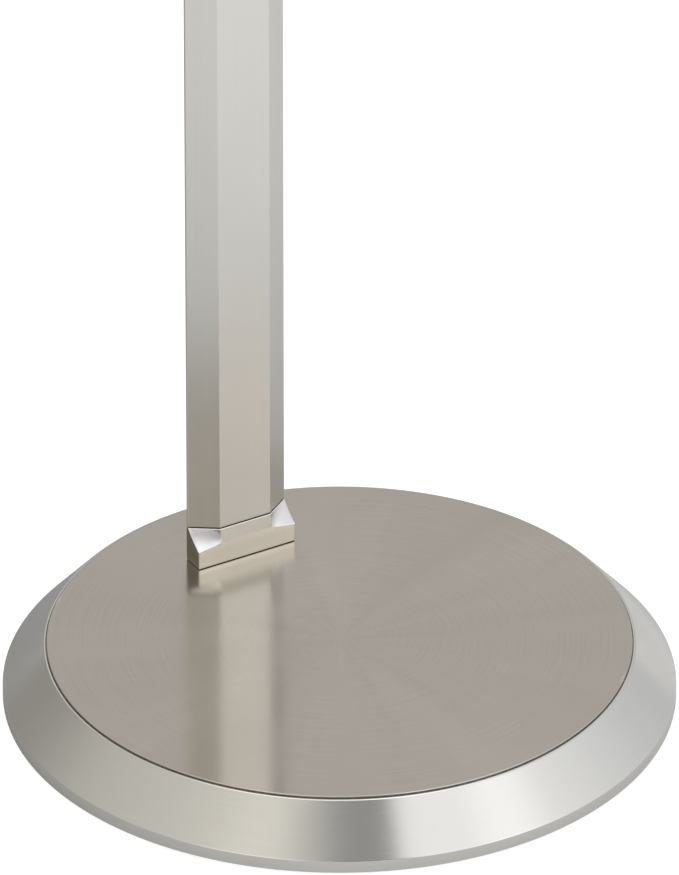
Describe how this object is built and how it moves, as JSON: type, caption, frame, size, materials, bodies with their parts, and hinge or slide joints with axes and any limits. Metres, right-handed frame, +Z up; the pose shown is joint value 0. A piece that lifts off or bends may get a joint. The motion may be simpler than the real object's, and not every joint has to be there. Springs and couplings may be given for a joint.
{
  "type": "torchiere floor lamp",
  "caption": "Slim torchiere: round weighted base, flat faceted pole at its rear edge, mitred arm, tilting upward bowl with an opal lens, and a rotary dimmer on the pole.",
  "frame": {"origin": "on the floor at the centre of the round base", "axes": "+Z up along the pole; -Y is the front that the dimmer and the pole's facets face; the pole stands on the +Y side"},
  "size_m": [0.305, 0.305, 1.829],
  "materials": {
    "base_shell": "satin nickel, circular brushed top, polished bevel",
    "pole_shell": "satin nickel, brushed along the length",
    "block_shell": "hollow-ground and polished nickel",
    "bowl_shell": "spun, satin nickel plated",
    "knob_metal": "turned and satin plated",
    "bright_steel": "bright zinc plated",
    "pin_steel": "polished plated",
    "screw_steel": "plated socket screws",
    "iron": "rough cast, painted black",
    "pad_rubber": "matt black rubber",
    "black_plastic": "moulded black nylon",
    "sink_aluminium": "cast and blasted",
    "driver_plastic": "white moulded case",
    "board": "white solder mask",
    "led_phosphor": "yellow phosphor",
    "reflector_white": "white enamel",
    "opal": "opal acrylic"
  },
  "bodies": {
    "stand": {"base_cover": "base_shell", "lower_pole": "pole_shell", "middle_pole": "pole_shell", "upper_pole": "pole_shell", "head_arm": "pole_shell", "foot_block": "block_shell", "arm_clevis": "block_shell", "switch_housing": "block_shell", "switch_cover": "block_shell", "pole_bracket": "bright_steel", "pole_splice": "bright_steel", "switch_core": "bright_steel", "elbow_bracket": "bright_steel", "dimmer_nut": "bright_steel", "bottom_plate": "bright_steel", "hinge_pin": "pin_steel", "hinge_nut": "pin_steel", "bottom_plate_screws": "screw_steel", "bracket_bolts": "screw_steel", "pole_foot_screws": "screw_steel", "pole_splice_screws": "screw_steel", "switch_core_screws": "screw_steel", "switch_cover_screws": "screw_steel", "elbow_pole_screws": "screw_steel", "elbow_arm_screws": "screw_steel", "clevis_screws": "screw_steel", "ballast": "iron", "base_pad": "pad_rubber", "cord_bushing": "black_plastic", "dimmer_module": "black_plastic", "friction_washers": "black_plastic"},
    "head": {"head_hub": "bowl_shell", "head_screws": "screw_steel", "bowl": "bowl_shell", "heat_sink": "sink_aluminium", "driver_box": "driver_plastic", "led_board": "board", "leds": "led_phosphor", "led_board_screws": "screw_steel", "reflector": "reflector_white", "diffuser": "opal", "trim_ring": "bowl_shell"},
    "knob": {"dimmer_knob": "knob_metal", "dimmer_shaft": "bright_steel"}
  },
  "joints": [
    {"name": "head_tilt", "type": "hinge", "parent": "stand", "child": "head", "pos_m": [0, 0, 1.7203], "axis": [1, 0, 0], "range_deg": [-15, 60]},
    {"name": "dimmer_turn", "type": "hinge", "parent": "stand", "child": "knob", "pos_m": [0, 0.069, 1.15], "axis": [0, -1, 0], "range_deg": [0, 270]}
  ]
}
